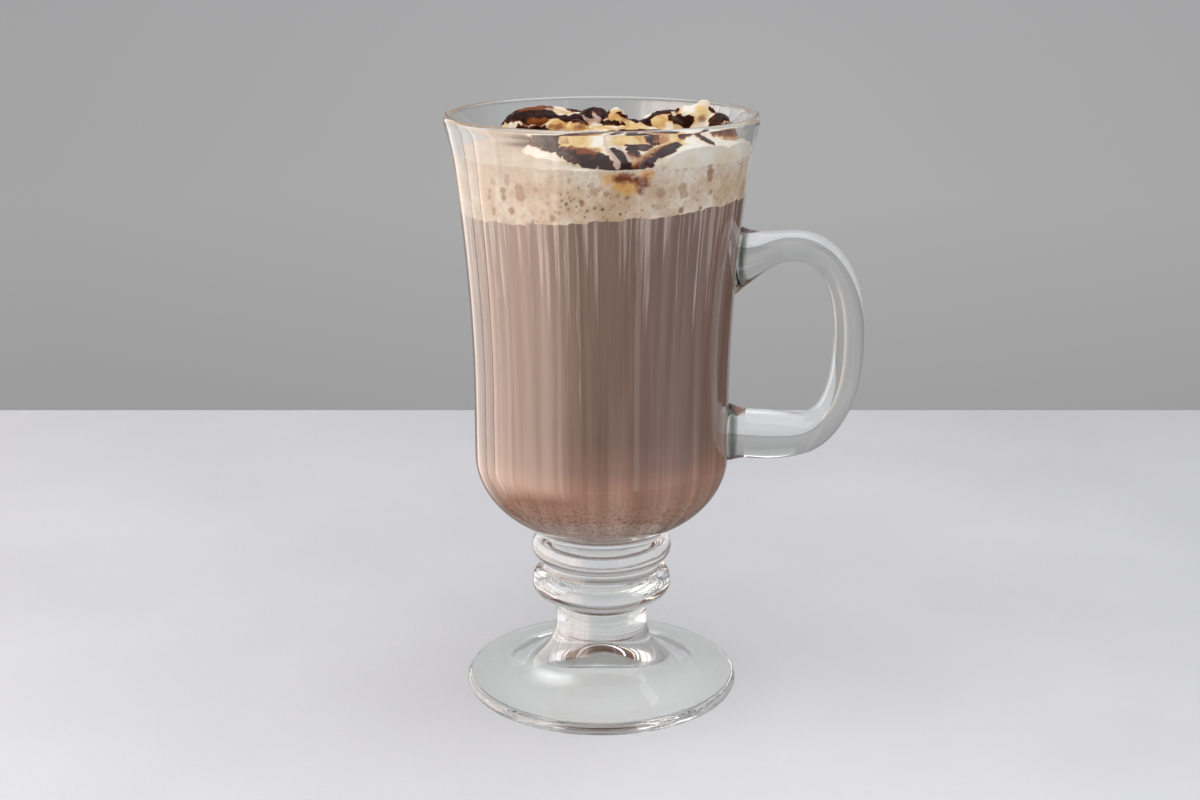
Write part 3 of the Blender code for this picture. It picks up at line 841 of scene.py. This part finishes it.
def milkFroth():
    # frothed milk with a little cocoa: a lace of bubbles between pale walls, with large tan bubbles at the
    # glass, clusters of small dark ones, and an amber stain where sauce has run in
    material, tree = newMaterial("milk_froth")
    place, parts = objectPlace(tree)
    patch = addNode(tree, "TexNoise", {"Vector": place, "Scale": 1 / foam["patch"], "Detail": 4.0})
    speckle = addNode(tree, "TexNoise", {"Vector": place, "Scale": 1 / foam["speckle"], "Detail": 3.0})
    waves, depth = foam["bend"]
    warp = addNode(tree, "TexNoise", {"Vector": place, "Scale": 1 / waves, "Detail": 2.0})
    bend = addNode(tree, "VectorMath", {0: warp.outputs["Color"], "Scale": depth}, operation="SCALE")
    bent = addNode(tree, "VectorMath", {0: place, 1: bend}, operation="ADD")
    shade = addNode(tree, "ValToRGB", {"Fac": patch}, ((0.34, "CDAF90"), (0.5, "DEC6AC"), (0.66, "EEDFCB")))
    lean = addNode(tree, "MapRange", {
        "Value": parts["X"], "From Min": foam["leftX"][0], "From Max": foam["leftX"][1]})
    shade = tinted(tree, shade, lean, ((0.0, "D6DEE6"), (0.6, "EEEEEE"), (1.0, "FFFFFF")))

    height = addNode(tree, "Math", {
        0: patch, 1: foam["creamyWave"], 2: parts["Z"]}, operation="MULTIPLY_ADD")
    topTone = addNode(tree, "ValToRGB", {"Fac": lean}, ((0.0, "AEA294"), (0.6, "C8BAA8"), (1.0, "EFE6DA")))
    under, over = foam["creamyTop"]
    shade = covered(tree, shade, topTone, height, foam["topZ"] - under, foam["topZ"] + over, 0.75)

    lace = addNode(tree, "TexVoronoi", {"Vector": bent, "Scale": 1 / foam["lace"] / 2},
                   feature="DISTANCE_TO_EDGE")
    inside = addNode(tree, "MapRange", {"Value": lace, "From Min": 0.03, "From Max": 0.2})
    laceDepth = addNode(tree, "MapRange", {"Value": lean, "To Min": 0.55, "To Max": 0.22})
    cell = addNode(tree, "Math", {0: inside, 1: laceDepth}, operation="MULTIPLY")
    shade = addNode(tree, "Mix", {"Factor": cell, 6: shade, 7: colour("C09A7C")}, data_type="RGBA").outputs[2]

    def bubbles(size, share, edge, patchFrom, patchTo, tone, strength):
        # round bubbles in a share of the cells, only where the patches lie between the two values
        cells = addNode(tree, "TexVoronoi", {"Vector": bent, "Scale": 1 / size / 2})
        spot = addNode(tree, "MapRange", {"Value": cells, "From Min": edge, "From Max": edge - 0.08})
        chance = addNode(tree, "SeparateColor", {"Color": cells.outputs["Color"]})
        chosen = addNode(tree, "Math", {0: chance, 1: share}, operation="LESS_THAN")
        area = addNode(tree, "MapRange", {
            "Value": patch, "From Min": patchFrom, "From Max": patchTo, "To Max": strength})
        both = addNode(tree, "Math", {0: spot, 1: chosen}, operation="MULTIPLY")
        mask = addNode(tree, "Math", {0: both, 1: area}, operation="MULTIPLY")
        return addNode(tree, "Mix", {"Factor": mask, 6: shade, 7: colour(tone)}, data_type="RGBA").outputs[2]

    shade = bubbles(foam["bubble"] / 1.6, 0.3, 0.36, 0.44, 0.52, "B8906E", 0.5)
    shade = bubbles(foam["fineBubble"], 0.3, 0.34, 0.5, 0.42, "7C5A44", 0.6)
    shade = bubbles(foam["fineBubble"] * 1.9, 0.2, 0.3, 0.56, 0.48, "9A7458", 0.45)
    for name, ragged, low, high, tone, strength in (
            ("tan", 0.0, 0.0, 0.85, "96683E", 0.9), ("dark", 0.0, 0.0, 1.0, "664430", 0.9),
            ("stainEdge", 0.5, 0.25, 1.2, "E2A03C", 0.8), ("stain", 0.5, 0.3, 1.15, "7A3200", 1.0)):
        amount = addNode(tree, "Attribute", attribute_name=name).outputs["Fac"]
        uneven = addNode(tree, "Math", {0: speckle, 1: ragged, 2: amount}, operation="MULTIPLY_ADD")
        shade = covered(tree, shade, colour(tone), uneven, low, high, strength)
    surface = addNode(tree, "BsdfPrincipled", {"Base Color": shade, "Roughness": 0.6, "IOR": 1.35})
    addNode(tree, "OutputMaterial", {"Surface": surface})
    return material


def buildFoam():
    # its lower edge waves, its top is uneven, and its side follows the wall
    lowZ = drink["topZ"]
    side = levels(lowZ, foam["topZ"], foam["sideSteps"])
    high = innerRadius(foam["topZ"]) + foam["letIn"]
    outline = [(0.0, lowZ)] + [(innerRadius(z) + foam["letIn"], z) for z in side]
    outline += [(high - step * mm, foam["topZ"]) for step in foam["topRings"]]
    outline += [(0.0, foam["topZ"])]
    bm = turnOutline(outline, foam["segments"])
    for vert in bm.verts:
        share = (vert.co.z - lowZ) / (foam["topZ"] - lowZ)
        spot = vert.co * (1 / foam["waveLength"])
        if share < 0.999:
            wave = foam["edgeWave"] * noise.noise(spot) + foam["edgeWave"] * 0.6 * noise.noise(spot * 3)
            vert.co.z += (drink["slope"] * vert.co.x + wave) * (1 - share)
        elif vert.co.xy.length > mm:
            vert.co.z += foam["relief"] * (noise.noise(spot) + 0.5 * noise.noise(spot * 2.7))
        if vert.co.xy.length > high - 5 * mm:
            out = vert.co.xy.length - (innerRadius(vert.co.z) + foam["letIn"])
            if share < 0.999 or out > 0:
                vert.co.xy = vert.co.xy.normalized() * (innerRadius(vert.co.z) + foam["letIn"])
    surface = BVHTree.FromBMesh(bm)
    paintBubbles(bm, "tan", tanBubbles, surface)
    paintBubbles(bm, "dark", darkBubbles, surface)
    paintDrops(bm, "stain", castStrokes(stain, surface, photoRay), *foam["stain"])
    paintDrops(bm, "stainEdge", castStrokes(stainEdge, surface, photoRay), *foam["stainEdge"])
    froth = addPiece("milk_foam_layer", bm, milkFroth(), "milk_foam")
    froth.data.set_sharp_from_angle(angle=math.radians(60))


buildFoam()
print("foam is made")


# Whipped cream and the chocolate sauce poured over it, as one modelled mass

cream = {
    "voxel": 0.34 * mm,
    "smoothing": 4,
    "lumpDetail": 5,
    "ripple": 0.22 * mm,
    "letIn": 0.17 * mm,
    "baseZ": 137.4 * mm,
    "sauceHeight": 0.35 * mm,
    "threadHeight": 0.15 * mm,
    "curd": 4.4,  # mm between creases on the upper lumps
    "crumple": 0.5 * mm,
    "smoothFrom": 18 * mm,  # the highest peak, from this x on, is less crumpled
    "folds": 5 * mm,
    "fineGrain": 1.4 * mm,
    # reach from the strokes, and drift of their edges
    "sauce": (0.8 * mm, 0.7 * mm),
    "brown": (1.0 * mm, 0.5 * mm),
    "gold": (1.3 * mm, 0.6 * mm),
    "milk": (0.5 * mm, 0.15 * mm),
}

# Lumps that melt together: centre x, y, z, half sizes x, y, z in mm, turn in degrees
creamLumps = (
    (4, -1, 136.0, 24, 23, 7.4, 0),
    (5, -14, 138.6, 15, 20, 5.0, 0),
    (-13.8, 10, 142.8, 10, 7, 4.1, 0),
    (-19.0, 9.5, 142.0, 5.6, 4.5, 2.9, -8),
    (-10.8, -1, 143.2, 2.6, 2.8, 2.2, 20),
    (-6.0, -2, 142.6, 3.2, 3.2, 2.4, -15),
    (-1.6, 12, 142.4, 4.6, 5.5, 4.0, 0),
    (3.6, 6, 143.0, 3.0, 4.2, 4.0, 0),
    (7.0, 5, 141.6, 3.6, 3.4, 2.8, 0),
    (15.0, 8, 142.2, 6.0, 6, 3.8, 15),
    (20.2, 3, 143.4, 3.4, 4.2, 4.7, 0),
    (23.4, 3, 144.0, 4.4, 4.8, 4.6, 0),
    (24.6, 3, 147.4, 1.9, 2.0, 2.1, 0),
    (28.0, 0, 142.4, 3.3, 6.5, 3.9, 0),
    (18.0, -20, 139.4, 11, 12, 4.6, -30),
    (27.0, -10, 139.2, 7, 12, 4.4, 10),
    (-9.0, 18, 141.0, 9, 7, 4.2, 10),
    (6.0, 20, 139.2, 9, 7, 3.2, 0),
    (18.0, 17, 141.0, 7.5, 7, 4.2, -20),
    (26.5, 9, 141.0, 5.5, 6.5, 4.2, 10),
)

# Thick sauce, thin brown sauce, pale yellow patches and threads of milk, as strokes in the view
darkStrokes = (
    ((499.5, 127, 1), (503, 121, 1.5), (508, 116.5, 2), (514, 112.5, 2)),
    ((506, 119.5, 1.5), (516, 116.5, 3.5), (527, 114, 4.5), (538, 113, 4.5), (548, 114, 3), (555, 116, 1.5)),
    ((515, 111.5, 1.5), (526, 107.5, 1.5), (535, 105.3, 1.2), (546, 104, 1), (554, 104.3, 0.6),
     (561, 106.8, 0.6)),
    ((538, 106.5, 1.5), (545, 106.5, 1.6), (551, 107, 1)),
    ((523, 119.5, 3), (536, 120, 2.5), (546, 120, 2)),
    ((552, 117, 1.3), (561, 117.8, 1.3), (568, 117.6, 1.6), (576, 118.5, 3), (581, 121, 2.5),
     (587, 123.5, 1)),
    ((517, 128, 0.6), (530, 128.3, 0.6), (549, 128.7, 0.6)),
    ((577, 109, 1), (583, 111.5, 2.5), (590, 110.5, 3.5), (597, 109.5, 4), (603, 112, 4), (607, 116, 3)),
    ((587, 116, 2), (596, 118.5, 2.5), (604, 120, 2)),
    ((600, 122.8, 0.7), (612, 123.2, 0.6), (623, 124, 0.4)),
    ((619, 113, 0.3), (625, 116, 0.4), (631.6, 118.8, 0.8)),
    ((632.5, 120.2, 1.8), (638.5, 120.4, 2)), ((641.5, 121, 1), (646, 122.8, 1.8), (650, 124.3, 0.8)),
    ((647, 119.7, 0.7), (653.6, 115, 0.9), (662, 112, 1.1), (668, 110.6, 1.6), (679, 109, 1.5)),
    ((643, 111.1, 0.5), (652, 111.5, 0.6), (662, 110.7, 0.6)),
    ((670.5, 117.2, 1.5), (676, 119.5, 3), (683, 121.5, 3.8), (692, 122, 3.4)),
    ((711, 110, 1), (719.6, 113, 2.5), (729, 116, 2)), ((711, 120.5, 1.5), (719, 118, 3), (728, 118, 1.5)),
    ((500, 139.5, 1), (518, 139.4, 2.2), (535, 141, 3.4), (547, 143.5, 4.6), (558, 147.5, 4.6)),
    ((562, 135.5, 0.8), (575, 134.6, 1.2), (602, 133.5, 0.8), (624, 131.6, 0.7), (654, 131, 0.7),
     (676, 132.7, 0.9)),
    ((560, 149.5, 3), (568, 152.5, 4.5), (580, 155, 6.5), (592, 158, 7), (603, 162.5, 6), (611, 166.5, 3.5)),
    ((613, 168, 2.5), (623, 171, 3.5), (632, 168, 3)),
    ((611, 149, 2), (616, 153, 3.5), (622, 159, 3.5), (626, 165, 3)),
    ((627, 147, 2.5), (640, 147, 2.5), (649, 146, 1.5)), ((629, 152, 2), (638, 154, 1.5)),
    ((643, 135.5, 2), (650, 138, 3.5), (657, 143, 1)),
    ((678, 142, 1.5), (671, 146, 3), (661, 151, 3.6), (651, 157.5, 3.6), (642, 164, 3), (634, 169, 1.5)),
    ((678, 137, 0.8), (696, 135, 1.3), (710, 130.5, 1)), ((710, 125.5, 0.8), (743, 124.5, 0.9)),
    ((710, 136, 0.5), (734, 133.2, 0.7)), ((698.5, 137.5, 0.8), (704, 139, 0.9), (709, 143, 0.5)),
)
brownStrokes = (
    ((520, 110.5, 0.8), (533, 108.6, 1.6), (545, 107.5, 2.4), (552, 108, 2)),
    ((530, 122, 0.8), (546, 121.4, 1)), ((550, 127, 1.5), (563, 127, 1)), ((575, 126.5, 1), (584, 126, 1)),
    ((562, 141, 1.5), (570, 141, 1)), ((566, 147.3, 1), (582, 148, 1.2), (599, 150, 1.2)),
    ((579, 151.5, 1.5), (597, 153, 1.5)),
    ((667, 143, 1), (654, 149, 1.6), (642, 156.5, 1.8), (632, 164.5, 1.6)),
    ((629, 155, 1), (634, 160, 2), (633, 166, 1)), ((655, 141, 1), (668, 138, 1)),
    ((700, 117, 1), (703, 121, 1)), ((729, 113, 0.8), (732, 118, 0.8)), ((722, 137, 1), (736, 136, 1.5)),
)
goldStrokes = (
    ((547, 124, 2.5), (556, 122, 4), (567, 123, 3.5)), ((565, 127.5, 1.5), (573, 124.5, 3), (583, 127, 2)),
    ((580, 129, 1), (592, 128, 2), (608, 127.5, 2)), ((611, 112, 2.5), (616, 117, 4), (627, 120.5, 2)),
    ((622, 127, 2.5), (634, 127.5, 2.5), (646, 128, 2)), ((651, 124, 2.5), (660, 120, 4), (669, 118, 3)),
    ((697, 107.5, 2), (704, 111, 3), (704, 116, 2)), ((692, 117, 1.5), (696, 122, 1.5)),
    ((558, 141, 4.5), (572, 142, 5), (588, 143, 4)), ((584, 148, 1.5), (600, 149, 2)),
    ((652, 137, 2.5), (666, 137.5, 3), (678, 138, 1.5)), ((617, 141, 3), (630, 140.3, 3.6), (641, 140, 2.4)),
    ((668, 144, 1), (652, 152, 2), (636, 163, 1.5)), ((720, 134.5, 2), (738, 132.5, 2)),
)
milkStrokes = (
    ((593, 113, 0.2), (595, 117, 0.5), (599.5, 120, 0.3)), ((579, 115, 0.4), (589, 120.8, 0.8)),
    ((589, 121.5, 1.2), (599, 121.5, 1.2)),
    ((606, 135, 0.7), (604.5, 143, 0.8), (608.5, 151, 1), (614.5, 158.5, 1.2), (618.5, 167, 1.6)),
    ((607.5, 143.5, 0.4), (617, 145.6, 0.6), (625, 153, 0.6), (629, 161, 0.6)),
    ((616, 160, 1), (618.5, 164, 1.8)),
    ((700, 134, 0.5), (710, 132, 0.7)), ((612, 173.8, 0.3), (622, 174.8, 0.5), (631, 172, 0.3)),
)
# Sauce at the back, which the view doesn't show: x, y and half width in mm
backStrokes = (
    ((-15, 16, 1.2), (-6, 19.5, 1.8), (4, 20, 1.4), (13, 19, 1.9), (20, 14, 1.2)),
    ((-3, 14, 1.2), (1, 20, 1.6), (-2, 25, 0.8)),
)


def creamAndSauce():
    # whipped cream: soft, matt, warm white, with painted shade that makes it yellower in its creases. On it
    # dark chocolate sauce, glossy and nearly black where thick, orange brown where thin, with pale yellow
    # patches and threads of milk drawn through
    material, tree = newMaterial("cream_and_sauce")
    place = addNode(tree, "TexCoord").outputs["Object"]
    fine = addNode(tree, "TexNoise", {"Vector": place, "Scale": 1 / cream["fineGrain"], "Detail": 3.0})
    folds = addNode(tree, "TexNoise", {"Vector": place, "Scale": 1 / cream["folds"], "Detail": 2.0})
    amounts = {}
    for name, ragged in (("creaseShade", 0.0), ("gold", 0.15), ("sauce", 0.3), ("brown", 0.4), ("milk", 0.2)):
        amount = addNode(tree, "Attribute", attribute_name=name).outputs["Fac"]
        amounts[name] = addNode(tree, "Math", {0: fine, 1: ragged, 2: amount}, operation="MULTIPLY_ADD")
    shade = addNode(tree, "ValToRGB", {"Fac": folds}, ((0.36, "E9DAC0"), (0.6, "F4ECDF")))
    # painted shade: yellower in the creases between the curds
    shade = tinted(tree, shade, amounts["creaseShade"], ((0.0, "ECD2A4"), (0.5, "FFFFFF")))
    shade = tinted(tree, shade, amounts["gold"], ((0.1, "FFFFFF"), (0.5, "FBEFD2"), (0.95, "F4DCA8")))
    shade = tinted(tree, shade, amounts["sauce"], (
        (0.32, "FFFFFF"), (0.42, "D8B48C"), (0.48, "8C5226"), (0.6, "4C220C"), (0.95, "280E06")))
    shade = covered(tree, shade, colour("96501E"), amounts["brown"], 0.45, 1.15, 0.85)
    shade = covered(tree, shade, colour("D6BAAE"), amounts["milk"], 0.4, 0.8, 0.85)
    wet = addNode(tree, "MapRange", {
        "Value": amounts["sauce"], "From Min": 0.4, "From Max": 0.6, "To Min": 0.5, "To Max": 0.28})
    shine = addNode(tree, "MapRange", {
        "Value": amounts["sauce"], "From Min": 0.4, "From Max": 0.6, "To Min": 0.3, "To Max": 0.08})
    surface = addNode(tree, "BsdfPrincipled", {
        "Base Color": shade, "Roughness": wet, "Specular IOR Level": shine})
    addNode(tree, "OutputMaterial", {"Surface": surface})
    return material


def creamMass():
    # the lumps melted together by a voxel remesh
    bm = bmesh.new()
    for x, y, z, halfX, halfY, halfZ, turn in creamLumps:
        place = Matrix.Translation(Vector((x, y, z)) * mm) @ Matrix.Rotation(math.radians(turn), 4, "Z")
        place = place @ Matrix.Diagonal((halfX * mm, halfY * mm, halfZ * mm, 1))
        bmesh.ops.create_icosphere(bm, subdivisions=cream["lumpDetail"], radius=1.0, matrix=place)
    lumps = addObject("lumps", bm)
    melt = lumps.modifiers.new("melt", "REMESH")
    melt.mode = "VOXEL"
    melt.voxel_size = cream["voxel"]
    applyModifiers(lumps)
    bm = bmesh.new()
    bm.from_mesh(lumps.data)
    bpy.data.objects.remove(lumps)
    low = [vert for vert in bm.verts if vert.co.z < cream["baseZ"]]
    bmesh.ops.delete(bm, geom=low, context="VERTS")
    rim = [edge for edge in bm.edges if edge.is_boundary]
    bmesh.ops.holes_fill(bm, edges=rim, sides=0)
    for _ in range(cream["smoothing"]):
        bmesh.ops.smooth_vert(bm, verts=bm.verts, factor=0.5,
                              use_axis_x=True, use_axis_y=True, use_axis_z=True)
    return bm


def buildCream():
    bm = creamMass()
    surface = BVHTree.FromBMesh(bm)
    poured = castStrokes(darkStrokes, surface, photoRay) + castStrokes(backStrokes, surface, dropRay)
    paintDrops(bm, "sauce", poured, *cream["sauce"])
    for name, strokes in (("brown", brownStrokes), ("gold", goldStrokes), ("milk", milkStrokes)):
        paintDrops(bm, name, castStrokes(strokes, surface, photoRay), *cream[name])
    # painted shade for the creases: low deep in the creases of the upper lumps, 1 elsewhere
    creaseShade = bm.verts.layers.float.new("creaseShade")
    sauce, milk = bm.verts.layers.float["sauce"], bm.verts.layers.float["milk"]
    bm.normal_update()
    for vert in bm.verts:
        spot = vert.co / mm
        near = noise.voronoi(spot / cream["curd"] + 0.25 * Vector(noise.noise_vector(spot * 0.5)))[0]
        bulge = smoothStep(0.0, 0.45, near[1] - near[0])
        rise = smoothStep(140.8, 143.2, spot.z)
        rise *= 1 - 0.6 * smoothStep(0, 4 * mm, vert.co.x - cream["smoothFrom"])
        vert[creaseShade] = 1 - rise * (1 - bulge)
        ripple = cream["ripple"] * (noise.noise(spot * 0.35) + 0.5 * noise.noise(spot * 0.9))
        ripple += cream["crumple"] * rise * (bulge - 0.6)
        thick = smoothStep(0.2, 0.6, vert[sauce])
        lift = cream["sauceHeight"] * thick + cream["threadHeight"] * smoothStep(0.2, 0.6, vert[milk])
        vert.co += vert.normal * (ripple * (1 - 0.6 * thick) + lift)
    for vert in bm.verts:
        limit = innerRadius(vert.co.z) + cream["letIn"]
        if vert.co.xy.length > limit:
            vert.co.xy = vert.co.xy.normalized() * limit
    mound = addPiece("whipped_cream_and_sauce", bm, creamAndSauce(), "whipped_cream")
    print("cream:", len(mound.data.polygons), "faces")


buildCream()
